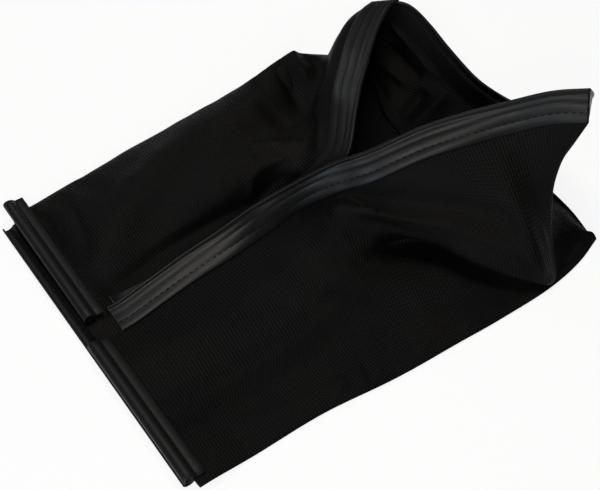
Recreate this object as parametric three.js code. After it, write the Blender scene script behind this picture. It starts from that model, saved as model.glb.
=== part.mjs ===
// Mower grass collection bag, empty and collapsed on a flat surface.
// Millimetres, +Z up, +X from the front clips to the rear panel, +Y from the near side to the far side.
//
// The bag is a box of woven mesh without a top or a front: one sheet makes the bottom and both sides,
// a second one closes the rear. A vinyl edging with a bead runs round the rim, and stiff clips with a
// hook section are sewn to the three front edges. At the front both sides are folded in over the bottom.
// At the rear the rim stands up like a tent, and the mouth is open between its two long runs.
import * as THREE from "three";

// Driving dimensions
const bottomWidth = 440;
const bottomLength = 566;
const frontSkew = 0.034; // the front edge lies a little askew: x gained for each mm of y
const frontNearX = -6;

const meshThickness = 1.6;
const clearance = 0.35;

const stripWidth = 36;
const stripThickness = 1.8;
const stripOverlapStart = 7; // the mesh ends this far below the bead's middle
const beadRadius = 2.3;
const beadSteps = 6;
const stripFirstRow = 2; // the edging's cut ends lie behind the clips' flanges

const clipThickness = 2;
const clipHookReach = 12.5; // from the front edge of the mesh forward to the lip
const clipFlange = 13; // from the front edge of the mesh back over it
const clipHump = 5; // inside height of the hook's channel
const clipLip = 2.5; // height at which the hook's front wall starts to bend
const clipDrop = 0.5; // the lip reaches this far below the flange
const longClipStart = 10;
const longClipEnd = 436;
const sideClipLength = 208;
const nearClipStart = 7;
const farClipStart = 246;

const lengthSteps = 44;
const rearSteps = 26;

// Materials
const meshFabric = { color: 0x0d0e10, roughness: 0.75, metalness: 0 };
const edgingVinyl = { color: 0x16181b, roughness: 0.45, metalness: 0 };
const clipPlastic = { color: 0x141619, roughness: 0.4, metalness: 0 };

const floorLayer = meshThickness / 2;
const clipHeight = clipHump + clipThickness;
// The bottom's front edge lies on the long clip, the near side lies over it, and the far side over both
const frontLayer = clipHeight + clearance + meshThickness / 2;
const nearLayer = frontLayer + meshThickness * 2.6;
const farLayerStep = 1.6;
const farLayer = nearLayer + farLayerStep;
const rimLift = 2; // the two rims' front ends lie this much higher than the mesh below them
const farLayerRise = 0.036; // the far side's front edge climbs towards the far fold
const farSetback = 13; // and lies this far behind the bottom's front edge
const farFlangeEase = 0.8; // the far side's mesh crowns a little under its flange
const flangeReach = clipFlange + 3;
const farFoldStart = 446;
const frontX = (y) => frontNearX + frontSkew * y;

// A guide line is a smooth curve through points chosen on the bag
function guide(...points) {
  const corners = points.map(([x, y, z]) => new THREE.Vector3(x, y, z));
  return new THREE.CatmullRomCurve3(corners, false, "centripetal");
}

// A copy of a line moved over, which can be opened further at its rear end
function beside(line, y, z, rearLift = 0) {
  const last = line.points.at(-1);
  return guide(...line.points.map((point) => {
    return [point.x, point.y + y, point.z + z + (point === last ? rearLift : 0)];
  }));
}

// Every line starts level, under or over a clip's flange
function frontEdge(y, z = frontLayer) {
  return [[frontX(y), y, z], [frontX(y) + flangeReach, y, z]];
}

function farFrontEdge(y) {
  const z = farLayer + farLayerRise * (y - farClipStart);
  const x = frontX(y) + farSetback;
  return [[x, y, z], [x + flangeReach, y, z]];
}

// Guide lines of the wrap panel, each from the front edge to the rear seam
const nearRim = guide(
  ...frontEdge(249, nearLayer + rimLift), [45, 250, 11.5], [95, 257, 13], [145, 262, 18], [196, 263, 25],
  [245, 262, 38], [293, 249, 60], [335, 225, 88], [366, 199, 110], [429, 168, 140], [504, 118, 172],
  [538, 88, 190], [567, 61, 197],
);
const nearHem = guide(
  ...frontEdge(213, nearLayer), [45, 214, 9.8], [95, 221, 9.5], [145, 226, 11], [196, 229, 13],
  [245, 234, 16], [293, 235, 28], [334, 206, 66], [364, 174, 88], [426, 140, 118], [502, 97, 144],
  [553, 42, 167],
);
const nearRidge = guide(
  ...frontEdge(165, nearLayer), [110, 170, 6], [210, 176, 7], [270, 185, 18], [315, 176, 60],
  [360, 129, 58], [419, 56, 50], [440, 25, 45], [461, -7, 36], [490, 6, 30], [522, 55, 85],
);
const nearTurn = guide(
  ...frontEdge(115, nearLayer), [110, 120, 6], [210, 126, 6], [270, 140, 8], [312, 140, 20],
  [362, 108, 18], [418, 42, 14], [442, 12, 12], [462, -20, 14], [490, -4, 12], [520, 56, 45],
);
const nearFlat = guide(
  ...frontEdge(58, nearLayer), [70, 59, 5.5], [200, 60, 5], [300, 54, 5], [370, 34, 5], [420, 10, 5.5],
  [456, -12, 6.5], [500, -6, 6], [542, 26, 14],
);
const nearFold = guide(
  ...frontEdge(-3, (frontLayer + nearLayer) / 2), [60, -1, 2.9], [150, -2, 2.9], [246, -13, 2.9],
  [330, -17, 2.9], [389, -20, 2.9], [469, -20, 2.9], [523, -12, 2.9], [bottomLength, 2, 2.9],
);
const floorNear = guide(
  ...frontEdge(50), [60, 50, floorLayer], [300, 45, floorLayer],
  [bottomLength + 12, 60, floorLayer],
);
const floorMiddle = guide(
  ...frontEdge(220), [60, 220, floorLayer], [300, 220, floorLayer],
  [bottomLength + 18, 220, floorLayer],
);
const floorFar = guide(
  ...frontEdge(345), [68, 342, floorLayer], [200, 330, floorLayer], [420, 315, floorLayer],
  [bottomLength + 10, 340, floorLayer],
);
const farRise = guide(
  ...frontEdge(412), [75, 406, 3], [160, 400, 8], [300, 392, 16], [420, 380, 34], [500, 396, 12],
  [bottomLength + 4, 410, floorLayer],
);
const farFold = guide(
  [frontX(farFoldStart) + farSetback / 2, farFoldStart, 13], [34, 441, 16], [75, 435, 26],
  [160, 434, 36], [250, 434, 46], [342, 431, 56], [400, 425, 72], [428, 422, 80], [460, 424, 66],
  [495, 428, 36], [530, 436, 12], [bottomLength - 2, bottomWidth, 3],
);
const farShoulder = guide(
  ...farFrontEdge(418), [60, 398, 35], [160, 392, 50], [250, 392, 58], [342, 392, 66], [400, 398, 62],
  [425, 405, 71], [455, 406, 66], [505, 424, 46], [568, 436, 38],
);
const farMiddle = guide(
  ...farFrontEdge(360), [60, 342, 33], [130, 337, 48], [210, 340, 56], [290, 350, 56], [350, 350, 45],
  [395, 358, 42], [425, 372, 55], [465, 400, 76], [515, 424, 84], [568, 430, 72],
);
const farArch = guide(
  ...farFrontEdge(312), [60, 293, 16], [130, 296, 26], [200, 296, 34], [258, 300, 43], [289, 308, 49],
  [339, 302, 52], [374, 314, 60], [400, 336, 74], [450, 379, 90], [510, 418, 98], [560, 426, 96],
);
const farHollow = guide(
  ...farFrontEdge(290), [60, 279, 7], [130, 286, 11], [200, 290, 14], [267, 288, 14], [296, 291, 20],
  [325, 276, 42], [362, 290, 70], [388, 308, 78], [410, 328, 86], [446, 372, 98], [510, 412, 106],
  [552, 420, 105],
);
const farHem = guide(
  ...farFrontEdge(266), [55, 267, 5.5], [75, 267, 4.2], [95, 267, 3.9], [145, 269, 5.5], [196, 271, 8],
  [245, 274, 12], [300, 270, 27], [336, 249, 67], [382, 295, 85], [404, 320, 92], [432, 348, 98],
  [454, 367, 104], [487, 386, 108], [525, 405, 112], [545, 412, 112],
);
const farRim = guide(
  [frontX(230) + farSetback, 230, frontLayer + rimLift], [40, 231, 5], [60, 231, 3.6], [95, 231, 3.5],
  [145, 233, 4.6], [196, 236, 6.2], [245, 240, 8.5], [293, 243, 17], [330, 232, 54], [361, 230, 79],
  [406, 271, 98], [435, 299, 105], [459, 319, 110], [484, 340, 114], [515, 364, 118], [549, 384, 121],
  [565, 387, 122],
);

// The near fold is a tight turn: the mesh comes back just under and over its edge
const foldReach = 7;
const foldLift = meshThickness * 1.3;
const foldOpening = 4; // the fold opens by this much at the rear seam
const nearFoldOver = beside(nearFold, foldReach, foldLift, foldOpening);
const nearFoldUnder = beside(nearFold, foldReach, -foldLift);

// Across the wrap panel from the near hem to the far hem, with the mesh steps taken between two lines
const wrapLines = [
  { line: nearHem, steps: 3 },
  { line: nearRidge, steps: 3 },
  { line: nearTurn, steps: 3 },
  { line: nearFlat, steps: 3 },
  { line: nearFoldOver, steps: 2 },
  { line: nearFold, steps: 2 },
  { line: nearFoldUnder, steps: 2 },
  { line: floorNear, steps: 3 },
  { line: floorMiddle, steps: 2 },
  { line: floorFar, steps: 3 },
  { line: farRise, steps: 4 },
  { line: farFold, steps: 4 },
  { line: farShoulder, steps: 3 },
  { line: farMiddle, steps: 3 },
  { line: farArch, steps: 2 },
  { line: farHollow, steps: 2 },
  { line: farHem, steps: 0 },
];

// The flat band of mesh under the edging: its two ends, and its direction down from the rim line
function hemStrip(rimPoint, hemPoint) {
  const down = hemPoint.clone().sub(rimPoint).normalize();
  const top = rimPoint.clone().addScaledVector(down, stripOverlapStart);
  const bottom = rimPoint.clone().addScaledVector(down, stripWidth);
  return { down, top, bottom };
}

// Smooth curve across the guide points, which between two of them stays between their heights
function smoothSection(points, spans) {
  const curve = new THREE.CatmullRomCurve3(points, false, "centripetal");
  const section = [];
  spans.forEach((steps, span) => {
    const heights = [points[span].z, points[span + 1].z];
    for (let step = 0; step < steps; step += 1) {
      const point = curve.getPoint((span + step / steps) / (points.length - 1));
      point.z = THREE.MathUtils.clamp(point.z, Math.min(...heights), Math.max(...heights));
      section.push(point);
    }
  });
  section.push(points.at(-1).clone());
  return section;
}

// Rows of the wrap panel's middle surface, one for each step along the bag
function wrapRow(share) {
  const nearTop = hemStrip(nearRim.getPointAt(share), nearHem.getPointAt(share));
  const farTop = hemStrip(farRim.getPointAt(share), farHem.getPointAt(share));
  const points = wrapLines.map(({ line }) => line.getPointAt(share));
  points[0] = nearTop.bottom;
  points[points.length - 1] = farTop.bottom;
  const spans = wrapLines.slice(0, -1).map(({ steps }) => steps);
  const section = smoothSection(points, spans);
  section.forEach((point) => { point.z = Math.max(point.z, floorLayer); });
  const nearMiddle = nearTop.top.clone().lerp(nearTop.bottom, 0.5);
  const farMiddlePoint = farTop.top.clone().lerp(farTop.bottom, 0.5);
  return [nearTop.top, nearMiddle, ...section, farMiddlePoint, farTop.top];
}

function wrapSurface() {
  const rows = [];
  for (let step = 0; step <= lengthSteps; step += 1) rows.push(wrapRow(step / lengthSteps));
  return rows;
}

function surfaceNormal(rows, i, j) {
  const last = rows.length - 1;
  const side = rows[0].length - 1;
  const along = rows[Math.min(i + 1, last)][j].clone().sub(rows[Math.max(i - 1, 0)][j]);
  const across = rows[i][Math.min(j + 1, side)].clone().sub(rows[i][Math.max(j - 1, 0)]);
  return along.cross(across).normalize();
}

// Closed thin sheet round a grid of middle points
function sheetGeometry(rows, thickness) {
  const width = rows[0].length;
  const positions = [];
  for (const side of [1, -1]) {
    rows.forEach((row, i) => row.forEach((point, j) => {
      const moved = point.clone().addScaledVector(surfaceNormal(rows, i, j), (side * thickness) / 2);
      positions.push(moved.x, moved.y, moved.z);
    }));
  }
  const layer = rows.length * width;
  const index = [];
  const quad = (a, b, c, d) => index.push(a, b, c, a, c, d);
  for (let i = 0; i < rows.length - 1; i += 1) {
    for (let j = 0; j < width - 1; j += 1) {
      const a = i * width + j;
      quad(a, a + width, a + width + 1, a + 1);
      quad(layer + a, layer + a + 1, layer + a + width + 1, layer + a + width);
    }
  }
  const rim = [];
  for (let j = 0; j < width - 1; j += 1) rim.push(j);
  for (let i = 0; i < rows.length - 1; i += 1) rim.push(i * width + width - 1);
  for (let j = width - 1; j > 0; j -= 1) rim.push((rows.length - 1) * width + j);
  for (let i = rows.length - 1; i > 0; i -= 1) rim.push(i * width);
  rim.forEach((a, k) => {
    const b = rim[(k + 1) % rim.length];
    quad(a, b, layer + b, layer + a);
  });
  const geometry = new THREE.BufferGeometry();
  geometry.setAttribute("position", new THREE.Float32BufferAttribute(positions, 3));
  geometry.setIndex(index);
  geometry.computeVertexNormals();
  return geometry;
}

function madeOf(name, geometry, finish) {
  const mesh = new THREE.Mesh(geometry, new THREE.MeshStandardMaterial(finish));
  mesh.name = name;
  return mesh;
}

const wrapRows = wrapSurface();

// The rear panel's edge laps inside the wrap panel's rear edge, where the two are sewn
function seamPoint(column) {
  const end = wrapRows.at(-1)[column];
  const before = wrapRows.at(-2)[column];
  const outward = end.clone().sub(before).normalize();
  const inward = surfaceNormal(wrapRows, wrapRows.length - 1, column);
  const lapped = end.clone().addScaledVector(outward, clearance);
  return lapped.addScaledVector(inward, meshThickness + clearance);
}

function columnOf(line) {
  const before = wrapLines.slice(0, wrapLines.findIndex((entry) => entry.line === line));
  return before.reduce((column, { steps }) => column + steps, 2);
}

function rearLine(nearLine, farLine, ...middle) {
  const points = middle.map(([x, y, z]) => new THREE.Vector3(x, y, z));
  const all = [seamPoint(columnOf(nearLine)), ...points, seamPoint(columnOf(farLine))];
  return new THREE.CatmullRomCurve3(all, false, "centripetal");
}

function seamPoints(firstColumn, lastColumn) {
  const step = Math.sign(lastColumn - firstColumn);
  const count = Math.abs(lastColumn - firstColumn) + 1;
  return Array.from({ length: count }, (_, k) => seamPoint(firstColumn + step * k));
}

// Guide lines of the rear panel, each from the near seam to the far seam
const rearBottom = new THREE.CatmullRomCurve3(
  seamPoints(columnOf(nearFold), columnOf(farFold)), false, "centripetal");
const rearLow = rearLine(nearFlat, farShoulder,
  [562, 60, 10], [552, 110, 6], [542, 215, 6], [546, 330, 6], [566, 420, 18]);
const rearInner = rearLine(nearTurn, farMiddle,
  [528, 80, 34], [505, 130, 9], [490, 220, 6], [500, 320, 7], [535, 400, 30]);
const rearUpper = rearLine(nearRidge, farArch,
  [540, 85, 70], [548, 130, 30], [545, 215, 14], [540, 300, 20], [545, 375, 54]);
const rearHem = rearLine(nearHem, farHem,
  [570, 60, 138], [588, 100, 84], [598, 160, 32], [590, 222, 20], [580, 268, 36], [572, 322, 60],
  [562, 362, 84], [552, 396, 98]);
const rearRim = guide(
  [568, 62, 196], [585, 72, 172], [604, 105, 115], [618, 155, 64], [610, 215, 50], [594, 253, 62],
  [586, 305, 84], [581, 342, 104], [575, 374, 118], [566, 387.5, 122],
);
const rearSpans = [3, 3, 4, 4];
const seamBlend = 4; // rows over which the panel eases into the exact seam

function rearRow(share) {
  const top = hemStrip(rearRim.getPointAt(share), rearHem.getPointAt(share));
  const points = [rearUpper, rearInner, rearLow, rearBottom].map((line) => line.getPointAt(share));
  const section = smoothSection([top.bottom, ...points], rearSpans);
  return [top.top, top.top.clone().lerp(top.bottom, 0.5), ...section];
}

function easeInto(rows, seam, rowAt) {
  const offsets = seam.map((point, j) => point.clone().sub(rows[rowAt(0)][j]));
  for (let k = 0; k < seamBlend; k += 1) {
    rows[rowAt(k)].forEach((point, j) => point.addScaledVector(offsets[j], (1 - k / seamBlend) ** 2));
  }
}

function rearSurface() {
  const rows = [];
  for (let step = 0; step <= rearSteps; step += 1) rows.push(rearRow(step / rearSteps));
  const lastColumn = wrapRows[0].length - 1;
  easeInto(rows, seamPoints(0, columnOf(nearFold)), (k) => k);
  easeInto(rows, seamPoints(lastColumn, columnOf(farFold)), (k) => rearSteps - k);
  return rows;
}

const rearRows = rearSurface();

// Rim edging: a flange over the outer face of the mesh, with a bead along its top.
// Its section at a row of a sheet is offset from the same three points as the sheet's own face.
function stripSection(rows, i, columns, rimPoint) {
  const inner = meshThickness / 2 + clearance;
  const outer = inner + stripThickness;
  const [top, middle, bottom] = columns.map((j) => ({
    point: rows[i][j],
    outward: surfaceNormal(rows, i, j).negate(),
  }));
  const face = ({ point, outward }, distance) => point.clone().addScaledVector(outward, distance);
  const down = top.point.clone().sub(rimPoint).normalize();
  const bead = [];
  for (let step = 0; step <= beadSteps; step += 1) {
    const angle = Math.PI * (0.25 + (1.5 * step) / beadSteps);
    bead.push(rimPoint.clone()
      .addScaledVector(down, beadRadius * Math.cos(angle))
      .addScaledVector(top.outward, beadRadius * Math.sin(angle) + (inner + outer) / 2));
  }
  return [...bead, face(top, inner), face(middle, inner), face(bottom, inner),
    face(bottom, outer), face(middle, outer), face(top, outer)];
}

function stripSections() {
  const width = wrapRows[0].length;
  const nearColumns = [0, 1, 2];
  const farColumns = [width - 1, width - 2, width - 3];
  const sections = [];
  for (let i = stripFirstRow; i <= lengthSteps; i += 1) {
    sections.push(stripSection(wrapRows, i, nearColumns, nearRim.getPointAt(i / lengthSteps)));
  }
  for (let i = 0; i <= rearSteps; i += 1) {
    const { down } = hemStrip(rearRows[i][0], rearRows[i][2]);
    const rimPoint = rearRows[i][0].clone().addScaledVector(down, -stripOverlapStart);
    sections.push(stripSection(rearRows, i, nearColumns, rimPoint));
  }
  for (let i = lengthSteps; i >= stripFirstRow; i -= 1) {
    sections.push(stripSection(wrapRows, i, farColumns, farRim.getPointAt(i / lengthSteps)));
  }
  return sections;
}

// Closed solid through a run of sections that have the same number of points
function loftedGeometry(sections) {
  const count = sections[0].length;
  const index = [];
  for (let i = 0; i < sections.length - 1; i += 1) {
    for (let k = 0; k < count; k += 1) {
      const a = i * count + k;
      const b = i * count + ((k + 1) % count);
      index.push(a, a + count, b + count, a, b + count, b);
    }
  }
  const last = (sections.length - 1) * count;
  for (const [a, b, c] of THREE.ShapeUtils.triangulateShape(flatOutline(sections[0]), [])) {
    index.push(a, b, c);
  }
  for (const [a, b, c] of THREE.ShapeUtils.triangulateShape(flatOutline(sections.at(-1)), [])) {
    index.push(last + a, last + c, last + b);
  }
  const geometry = new THREE.BufferGeometry();
  const positions = sections.flat().flatMap((point) => point.toArray());
  geometry.setAttribute("position", new THREE.Float32BufferAttribute(positions, 3));
  geometry.setIndex(index);
  geometry.computeVertexNormals();
  return geometry;
}

// A section's points in its own plane: along the flange, and out of it
function flatOutline(section) {
  const start = section[0];
  const along = section.at(-3).clone().sub(section.at(-1)).normalize();
  const out = section.at(-1).clone().sub(section.at(-6));
  out.addScaledVector(along, -out.dot(along)).normalize();
  return section.map((point) => {
    const offset = point.clone().sub(start);
    return new THREE.Vector2(offset.dot(along), offset.dot(out));
  });
}

// Clip: a hook with a lip at the front, a hump, and a flange sewn over the mesh
function clipGeometry(length) {
  const lipInside = -clipHookReach + clipThickness;
  const outline = new THREE.Shape();
  outline.moveTo(-clipHookReach, -clipDrop);
  outline.lineTo(-clipHookReach, clipLip);
  outline.quadraticCurveTo(-clipHookReach + 1, clipHeight - 0.5, -clipHookReach + 6, clipHeight);
  outline.quadraticCurveTo(-1, clipHeight, 3, clipThickness);
  outline.lineTo(clipFlange, clipThickness);
  outline.lineTo(clipFlange, 0);
  outline.lineTo(1.5, 0);
  outline.quadraticCurveTo(-2, clipHump, -clipHookReach + 5, clipHump);
  outline.quadraticCurveTo(lipInside, clipHump, lipInside, clipLip);
  outline.lineTo(lipInside, -clipDrop);
  outline.closePath();
  const extrusion = { depth: length, bevelEnabled: false, curveSegments: 4 };
  const geometry = new THREE.ExtrudeGeometry(outline, extrusion);
  geometry.rotateX(Math.PI / 2);
  geometry.translate(0, length, 0);
  return geometry;
}

function sideClip(name, startY, edgeX, z, tilt) {
  const mesh = madeOf(name, clipGeometry(sideClipLength), clipPlastic);
  mesh.rotation.set(tilt, 0, -Math.atan(frontSkew));
  mesh.position.set(edgeX, startY, z);
  return mesh;
}

// The long clip is turned over, so that its hump lies on the floor and its hook opens upwards
function longClip() {
  const mesh = madeOf("front_bottom_clip", clipGeometry(longClipEnd - longClipStart), clipPlastic);
  mesh.rotation.set(Math.PI, 0, -Math.atan(frontSkew), "ZXY");
  mesh.position.set(frontX(longClipEnd), longClipEnd, clipHeight);
  return mesh;
}

const wrapPanel = madeOf("wrap_panel", sheetGeometry(wrapRows, meshThickness), meshFabric);
const rearPanel = madeOf("rear_panel", sheetGeometry(rearRows, meshThickness), meshFabric);
const rimStrip = madeOf("rim_strip", loftedGeometry(stripSections()), edgingVinyl);

const bag = new THREE.Group();
bag.add(wrapPanel, rearPanel, rimStrip);
bag.add(longClip());
const nearClipZ = nearLayer + meshThickness / 2 + clearance;
const farClipZ = farLayer + meshThickness / 2 + clearance + farFlangeEase;
bag.add(sideClip("near_side_clip", nearClipStart, frontX(nearClipStart), nearClipZ, 0));
const farClipX = frontX(farClipStart) + farSetback;
bag.add(sideClip("far_side_clip", farClipStart, farClipX, farClipZ, farLayerRise));

// The origin is the middle of the bag's outline on the floor
const outline = new THREE.Box3().setFromObject(bag, true);
const middle = outline.getCenter(new THREE.Vector3());
bag.position.set(-middle.x, -middle.y, -outline.min.z);

export default bag;
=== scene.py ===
# %% [markdown]
# # A mower's grass collection bag
# The real bag is a box of black woven mesh with no top and no front. A vinyl edging with a bead runs
# round its rim, and stiff hooked clips are sewn to its three front edges. It lies here empty and
# collapsed: both sides are folded in over the bottom at the front, and the rim stands up at the rear.
# This notebook dresses the measured model with the real surfaces, one piece after the other.

# %% Load the measured frame
import math
import bmesh
import bpy
import numpy as np
from mathutils import Matrix, Vector, noise


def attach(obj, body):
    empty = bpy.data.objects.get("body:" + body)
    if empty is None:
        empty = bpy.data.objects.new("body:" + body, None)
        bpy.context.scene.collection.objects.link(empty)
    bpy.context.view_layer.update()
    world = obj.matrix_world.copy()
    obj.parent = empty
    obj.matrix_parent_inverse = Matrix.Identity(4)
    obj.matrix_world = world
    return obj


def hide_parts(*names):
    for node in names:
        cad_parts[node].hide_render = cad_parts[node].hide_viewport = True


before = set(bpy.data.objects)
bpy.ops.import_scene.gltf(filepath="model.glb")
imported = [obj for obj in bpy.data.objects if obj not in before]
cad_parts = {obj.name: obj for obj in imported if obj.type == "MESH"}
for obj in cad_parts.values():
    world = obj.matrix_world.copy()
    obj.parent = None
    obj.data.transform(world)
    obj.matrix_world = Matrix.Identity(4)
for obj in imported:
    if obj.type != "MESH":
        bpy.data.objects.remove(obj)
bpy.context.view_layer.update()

# %% [markdown]
# ## Camera
# The photograph looks down at the bag from its near front corner. The view is set by where the camera
# stands and by two angles. A long lens keeps the far edge nearly as large as the near one.
# The bag's own points below are counted from its near front corner, so the frame's origin is taken off.

# %% Camera
MM = 0.001
bag_origin = Vector((301.785, 216.225, 0.0)) * MM
camera_place = Vector((-293.9, -563.4, 1079.2)) * MM
view_azimuth = math.radians(-36.4)
view_elevation = math.radians(48.4)
lens_length = 72.0
sensor_width = 36.0

camera_data = bpy.data.cameras.new("camera")
camera_data.lens = lens_length
camera_data.sensor_width = sensor_width
camera_data.sensor_fit = "HORIZONTAL"
camera_data.clip_end = 20.0
camera = bpy.data.objects.new("camera", camera_data)
bpy.context.scene.collection.objects.link(camera)
camera.location = camera_place - bag_origin
camera.rotation_euler = (math.radians(90) - view_elevation, 0.0, view_azimuth)
bpy.context.scene.camera = camera
print("camera stands", round(camera.location.length, 3), "m from the origin")

# %% [markdown]
# ## Guide lines
# Cloth that lies in folds is easiest to shape with a few long lines that follow the crests and the
# hollows. Each line is a smooth curve through points chosen on the bag. A section through all of them
# gives one row of the cloth, and the rows together make the sheet.

# %% Smooth curves through points
CURVE_STEPS = 12


def curve_parts(points):
    """Cubic parts of a centripetal curve; points has the shape (..., count, 3)."""
    first = 2 * points[..., :1, :] - points[..., 1:2, :]
    last = 2 * points[..., -1:, :] - points[..., -2:-1, :]
    ends = np.concatenate([first, points, last], axis=-2)
    gaps = np.sqrt(np.linalg.norm(np.diff(ends, axis=-2), axis=-1))[..., None]
    gaps = np.maximum(gaps, 1e-6)
    a, b, c, d = (ends[..., k:ends.shape[-2] - 3 + k, :] for k in range(4))
    ab, bc, cd = (gaps[..., k:gaps.shape[-2] - 2 + k, :] for k in range(3))
    leave = ((b - a) / ab - (c - a) / (ab + bc) + (c - b) / bc) * bc
    arrive = ((c - b) / bc - (d - b) / (bc + cd) + (d - c) / cd) * bc
    return b, leave, 3 * (c - b) - 2 * leave - arrive, 2 * (b - c) + leave + arrive


def curve_at(points, places):
    """Points of the curve at places from 0 to count - 1."""
    parts = curve_parts(points)
    span = np.clip(np.floor(places).astype(int), 0, points.shape[-2] - 2)
    t = (places - span)[:, None]
    c0, c1, c2, c3 = (part[..., span, :] for part in parts)
    return c0 + t * (c1 + t * (c2 + t * c3))


def guide(*points):
    return np.array(points, dtype=float) * MM


def even_points(points, shares):
    """Points of a guide line at even shares of its length."""
    places = np.linspace(0, len(points) - 1, CURVE_STEPS * len(points))
    trail = curve_at(points, places)
    length = np.concatenate([[0], np.cumsum(np.linalg.norm(np.diff(trail, axis=0), axis=1))])
    return curve_at(points, np.interp(shares * length[-1], length, places))


# %% [markdown]
# ## The bag's sizes
# The front edge lies on the long clip, so its mesh starts a little above the floor. The near side lies
# over it, and the far side is a little higher still and climbs towards its fold.

# %% Sizes shared by the pieces
bottom_width = 440
bottom_length = 566
front_skew = 0.034
front_near_x = -6
mesh_layer = 1.6
clearance = 0.35
clip_thickness = 2
clip_hook_reach = 12.5
clip_flange = 13
clip_hump = 5
clip_height = clip_hump + clip_thickness
floor_layer = mesh_layer / 2
front_layer = clip_height + clearance + mesh_layer / 2
near_layer = front_layer + mesh_layer * 2.6
far_layer = near_layer + 1.6
far_clip_start = 246
far_layer_rise = 0.036
far_setback = 13
far_flange_ease = 0.8
flange_reach = clip_flange + 3
strip_width = 36
strip_overlap_start = 7


def front_x(y):
    return front_near_x + front_skew * y


def front_edge(y, z=front_layer):
    return (front_x(y), y, z), (front_x(y) + flange_reach, y, z)


def far_front_edge(y):
    z = far_layer + far_layer_rise * (y - far_clip_start)
    x = front_x(y) + far_setback
    return (x, y, z), (x + flange_reach, y, z)


# %% Guide lines of the wrap panel, from the front edge to the rear seam
near_rim = guide(
    *front_edge(249, near_layer + 2), (45, 250, 11.5), (95, 257, 13), (145, 262, 18), (196, 263, 25),
    (245, 262, 38), (293, 249, 60), (335, 225, 88), (366, 199, 110), (429, 168, 140), (504, 118, 172),
    (538, 88, 190), (567, 61, 197))
near_hem = guide(
    *front_edge(213, near_layer), (45, 214, 9.8), (95, 221, 9.5), (145, 226, 11), (196, 229, 13),
    (245, 234, 16), (293, 235, 28), (334, 206, 66), (364, 174, 88), (426, 140, 118), (502, 97, 144),
    (553, 42, 167))
near_ridge = guide(
    *front_edge(165, near_layer), (110, 170, 6), (210, 176, 7), (270, 185, 18), (315, 176, 60),
    (360, 129, 58), (419, 56, 50), (440, 25, 45), (461, -7, 36), (490, 6, 30), (522, 55, 85))
# The near fold hangs over its own foot: the lip is its lower edge, and the valley is the hollow under it
near_lip = guide(
    *front_edge(115, near_layer), (110, 120, 6), (210, 126, 6), (270, 140, 8), (312, 152, 28),
    (344, 138, 40), (373, 106, 38), (388, 87, 36), (397, 63, 34), (408, 39, 31), (420, 18, 28),
    (435, 0, 24), (451, -12, 17), (468, -20, 10), (490, -4, 12), (520, 56, 45))
near_valley = guide(
    *front_edge(88, near_layer), (110, 92, 5.5), (210, 98, 5.5), (290, 122, 6), (330, 136, 8),
    (360, 140, 8), (388, 129, 7), (405, 108, 7), (413, 83, 6.5), (422, 57, 6.5), (432, 34, 6.5),
    (445, 13, 6.5), (458, -4, 6.5), (472, -14, 7), (498, 2, 11), (528, 44, 28))
near_flat = guide(
    *front_edge(58, near_layer), (70, 59, 5.5), (200, 60, 5), (300, 54, 5), (370, 34, 5),
    (420, 10, 5.5), (456, -12, 6.5), (500, -6, 6), (542, 26, 14))
near_fold = guide(
    *front_edge(-3, (front_layer + near_layer) / 2), (60, -1, 2.9), (150, -2, 2.9), (246, -13, 2.9),
    (330, -17, 2.9), (389, -20, 2.9), (469, -20, 2.9), (523, -12, 2.9), (bottom_length, 2, 2.9))
fold_reach = 7
fold_lift = mesh_layer * 1.3
near_fold_over = near_fold + np.array([0, fold_reach, fold_lift]) * MM
near_fold_over[-1, 2] += 4 * MM
near_fold_under = near_fold + np.array([0, fold_reach, -fold_lift]) * MM
floor_near = guide(
    *front_edge(50), (60, 50, floor_layer), (300, 45, floor_layer), (bottom_length + 12, 60, floor_layer))
floor_middle = guide(
    *front_edge(220), (60, 220, floor_layer), (300, 220, floor_layer),
    (bottom_length + 18, 220, floor_layer))
floor_far = guide(
    *front_edge(345), (68, 342, floor_layer), (200, 330, floor_layer), (420, 315, floor_layer),
    (bottom_length + 10, 340, floor_layer))
far_rise = guide(
    *front_edge(412), (75, 406, 3), (160, 400, 8), (300, 392, 16), (420, 380, 34), (500, 396, 12),
    (bottom_length + 4, 410, floor_layer))
far_fold = guide(
    (front_x(446) + far_setback / 2, 446, 13), (34, 441, 16), (75, 435, 26), (160, 434, 36),
    (250, 434, 46), (342, 431, 57), (396, 427, 76), (418, 424, 82), (427, 424, 79), (436, 424, 73),
    (470, 426, 52), (495, 428, 36),
    (530, 436, 12), (bottom_length - 2, bottom_width, 3))
far_shoulder = guide(
    *far_front_edge(418), (60, 398, 35), (160, 392, 50), (250, 392, 58), (342, 392, 66),
    (400, 398, 62), (425, 405, 71), (455, 406, 66), (505, 424, 46), (568, 436, 38))
far_middle = guide(
    *far_front_edge(360), (60, 342, 33), (130, 337, 48), (210, 340, 56), (290, 350, 56),
    (350, 350, 45), (395, 358, 42), (425, 372, 55), (465, 400, 76), (515, 424, 84), (568, 430, 72))
far_arch = guide(
    *far_front_edge(312), (60, 293, 16), (130, 296, 26), (200, 296, 34), (258, 300, 43),
    (289, 308, 49), (339, 302, 52), (374, 314, 60), (400, 336, 74), (450, 379, 90), (510, 418, 98),
    (560, 426, 96))
far_hollow = guide(
    *far_front_edge(290), (60, 279, 7), (130, 286, 11), (200, 290, 14), (267, 288, 14),
    (296, 291, 20), (325, 276, 42), (362, 290, 70), (388, 308, 78), (410, 328, 86), (446, 372, 98),
    (510, 412, 106), (552, 420, 105))
far_hem = guide(
    *far_front_edge(266), (55, 267, 5.5), (75, 267, 4.2), (95, 267, 3.9), (145, 269, 5.5),
    (196, 271, 8), (245, 274, 12), (300, 270, 27), (341, 257, 61), (385, 298, 82), (404, 320, 92),
    (432, 348, 98), (454, 367, 104), (487, 386, 108), (525, 405, 112), (545, 412, 112))
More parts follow.
